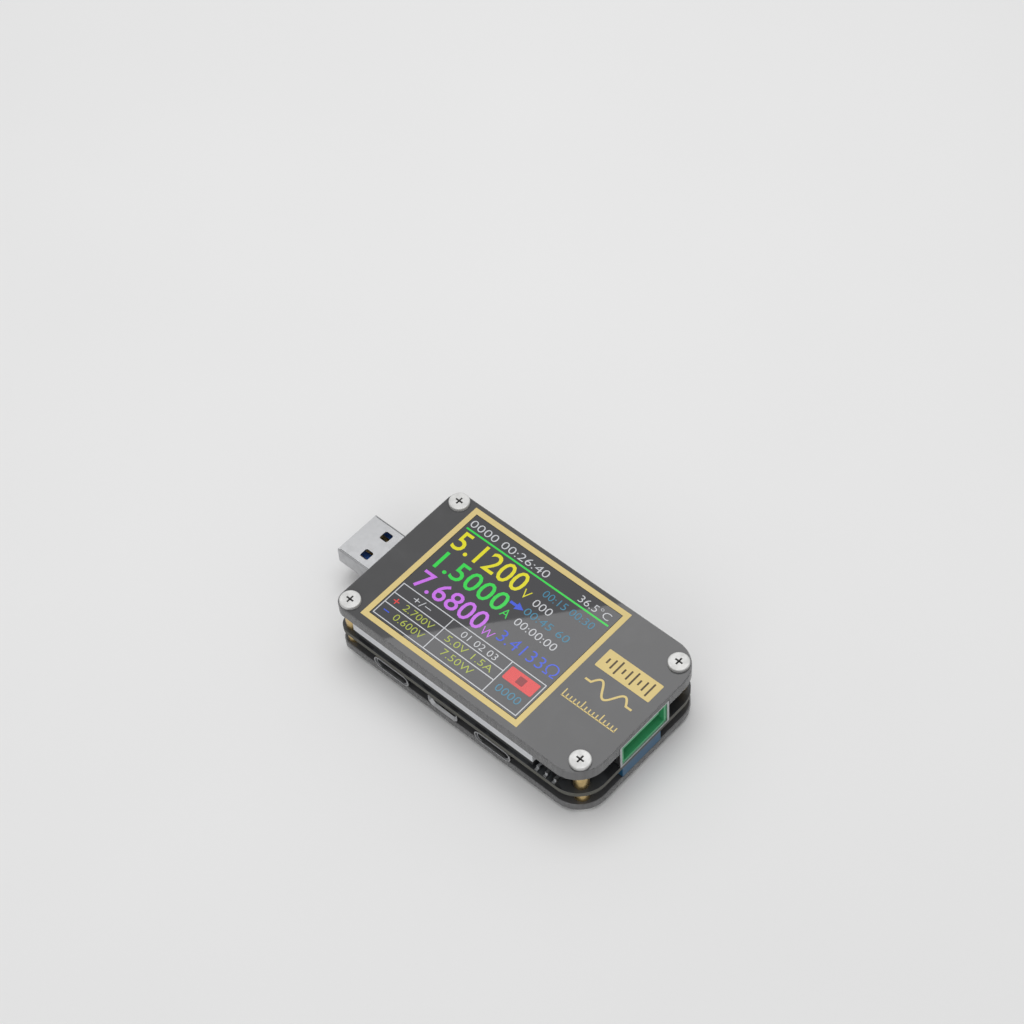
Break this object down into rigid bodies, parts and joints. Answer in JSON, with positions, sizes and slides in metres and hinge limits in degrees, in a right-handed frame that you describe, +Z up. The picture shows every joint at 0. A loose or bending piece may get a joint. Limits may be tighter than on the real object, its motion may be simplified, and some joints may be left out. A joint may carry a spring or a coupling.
{
  "type": "usb power meter",
  "caption": "Pocket meter with a colour display between smoked plates, a USB-A plug and socket, side ports, and side keys, for reading voltage and current.",
  "frame": {"origin": "under the middle of the whole object, in the plane of the lower screw heads that it stands on", "axes": "+X from the USB-A plug to the USB-A socket, +Y from the edge with the USB-C ports to the edge with the keys, +Z up out of the display"},
  "size_m": [0.0806, 0.0394, 0.0163],
  "materials": {
    "smoked_acrylic": "gloss",
    "board_black": "satin solder mask",
    "brass": "turned",
    "screw_plating": "bright plated",
    "display_glass": "gloss",
    "tray_white": "satin",
    "foam_black": "matte",
    "ribbon_amber": "satin film",
    "connector_cream": "satin",
    "plated_steel": "drawn and plated",
    "moulding_blue": "satin",
    "moulding_green": "satin",
    "moulding_black": "satin",
    "gold_contact": "gold flash",
    "key_ivory": "satin",
    "solder_tin": "tinned",
    "chip_black": "moulded epoxy",
    "shunt_metal": "plated",
    "ceramic_tan": "fired",
    "inductor_grey": "pressed powder",
    "radio_blue": "satin"
  },
  "bodies": {
    "frame": {"top_plate": "smoked_acrylic", "bottom_plate": "smoked_acrylic", "main_board": "board_black", "upper_spacers": "brass", "lower_spacers": "brass", "top_screws": "screw_plating", "bottom_screws": "screw_plating", "display_panel": "display_glass", "backlight_tray": "tray_white", "display_foam_pad": "foam_black", "display_ribbon": "ribbon_amber", "ribbon_connector": "connector_cream", "plug_shell": "plated_steel", "socket_shell": "plated_steel", "usb_c_input_shell": "plated_steel", "usb_c_output_shell": "plated_steel", "micro_usb_input_shell": "plated_steel", "data_link_shell": "plated_steel", "key_domes": "plated_steel", "plug_block": "moulding_blue", "socket_block": "moulding_green", "usb_c_input_tongue": "moulding_black", "usb_c_output_tongue": "moulding_black", "micro_usb_input_tongue": "moulding_black", "data_link_tongue": "moulding_black", "key_cases": "moulding_black", "mode_switch_case": "moulding_black", "plug_contacts": "gold_contact", "socket_contacts": "gold_contact", "usb_c_input_contacts": "gold_contact", "usb_c_output_contacts": "gold_contact", "micro_usb_input_contacts": "gold_contact", "data_link_contacts": "gold_contact", "controller_leads": "solder_tin", "converter_leads": "solder_tin", "regulator_legs": "solder_tin", "key_terminals": "solder_tin", "mode_switch_terminals": "solder_tin", "controller_chip": "chip_black", "converter_chip": "chip_black", "regulator_body": "chip_black", "resistors": "chip_black", "current_shunts": "shunt_metal", "clock_crystal": "shunt_metal", "capacitors": "ceramic_tan", "power_inductor": "inductor_grey", "radio_module": "radio_blue"},
    "menu_key": {"menu_key": "key_ivory"},
    "left_key": {"left_key": "key_ivory"},
    "right_key": {"right_key": "key_ivory"},
    "confirm_key": {"confirm_key": "key_ivory"},
    "mode_slider": {"mode_slider": "key_ivory"}
  },
  "joints": [
    {"name": "menu_key_press", "type": "slide", "parent": "frame", "child": "menu_key", "axis": [0, -1, 0], "range_m": [0, 0.00025], "stiffness_N_per_m": 8000},
    {"name": "left_key_press", "type": "slide", "parent": "frame", "child": "left_key", "axis": [0, -1, 0], "range_m": [0, 0.00025], "stiffness_N_per_m": 8000},
    {"name": "right_key_press", "type": "slide", "parent": "frame", "child": "right_key", "axis": [0, -1, 0], "range_m": [0, 0.00025], "stiffness_N_per_m": 8000},
    {"name": "confirm_key_press", "type": "slide", "parent": "frame", "child": "confirm_key", "axis": [0, -1, 0], "range_m": [0, 0.00025], "stiffness_N_per_m": 8000},
    {"name": "mode_slide", "type": "slide", "parent": "frame", "child": "mode_slider", "axis": [1, 0, 0], "range_m": [0, 0.002]}
  ]
}
